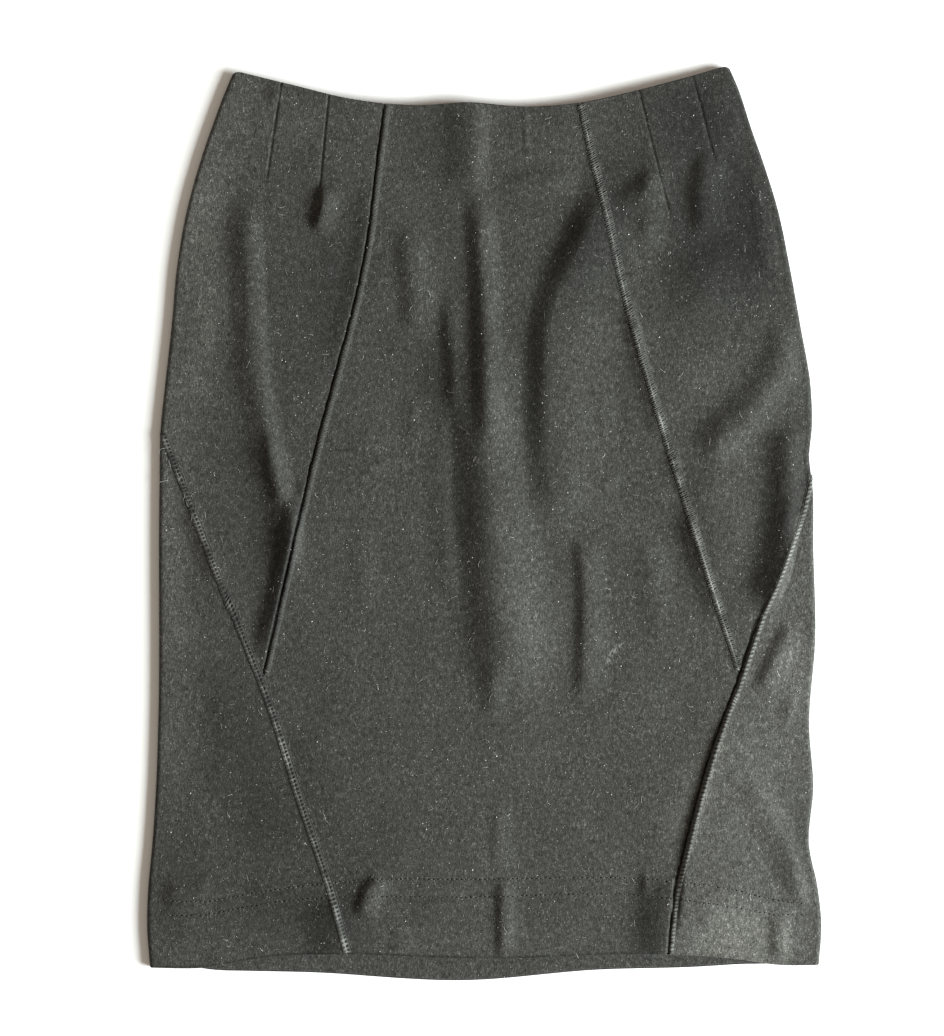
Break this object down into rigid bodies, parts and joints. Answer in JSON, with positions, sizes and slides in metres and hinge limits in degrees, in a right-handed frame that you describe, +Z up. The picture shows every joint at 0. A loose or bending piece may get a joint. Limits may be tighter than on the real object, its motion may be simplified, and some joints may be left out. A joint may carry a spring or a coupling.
{
  "type": "pencil skirt",
  "caption": "Knee-length charcoal pencil skirt laid flat, with angled front panels joined by raised ladder-stitched seams, waist darts and a deep stitched hem.",
  "frame": {"origin": "on the surface that the skirt lies on, under the middle of its outline", "axes": "+X to the right as seen from above, +Y from the hem to the waist, +Z up off the surface, out of the skirt's front"},
  "size_m": [0.5001, 0.678, 0.013],
  "materials": {
    "charcoal_cloth": "matt brushed knit with a short fuzzy nap",
    "seam_thread": "matt thread, looped in a ladder over the seam",
    "zip_tape": "matt woven nylon tape",
    "dark_metal": "smooth dark lacquer"
  },
  "bodies": {
    "garment": {"front_centre_panel": "charcoal_cloth", "front_upper_side_panel_left": "charcoal_cloth", "front_upper_side_panel_right": "charcoal_cloth", "front_lower_side_panel_left": "charcoal_cloth", "front_lower_side_panel_right": "charcoal_cloth", "front_upper_seam_left": "seam_thread", "front_upper_seam_right": "seam_thread", "front_lower_seam_left": "seam_thread", "front_lower_seam_right": "seam_thread", "back_panel_left": "charcoal_cloth", "back_panel_right": "charcoal_cloth", "front_hem_turn_up": "charcoal_cloth", "back_hem_turn_up": "charcoal_cloth", "back_zip_tape_left": "zip_tape", "back_zip_tape_right": "zip_tape", "back_zip_slider": "dark_metal"},
    "zip_pull": {"back_zip_pull": "dark_metal"}
  },
  "joints": [
    {"name": "zip_pull_swing", "type": "hinge", "parent": "garment", "child": "zip_pull", "pos_m": [0, 0.29739, 0.0019], "axis": [1, 0, 0], "range_deg": [0, 170]}
  ]
}
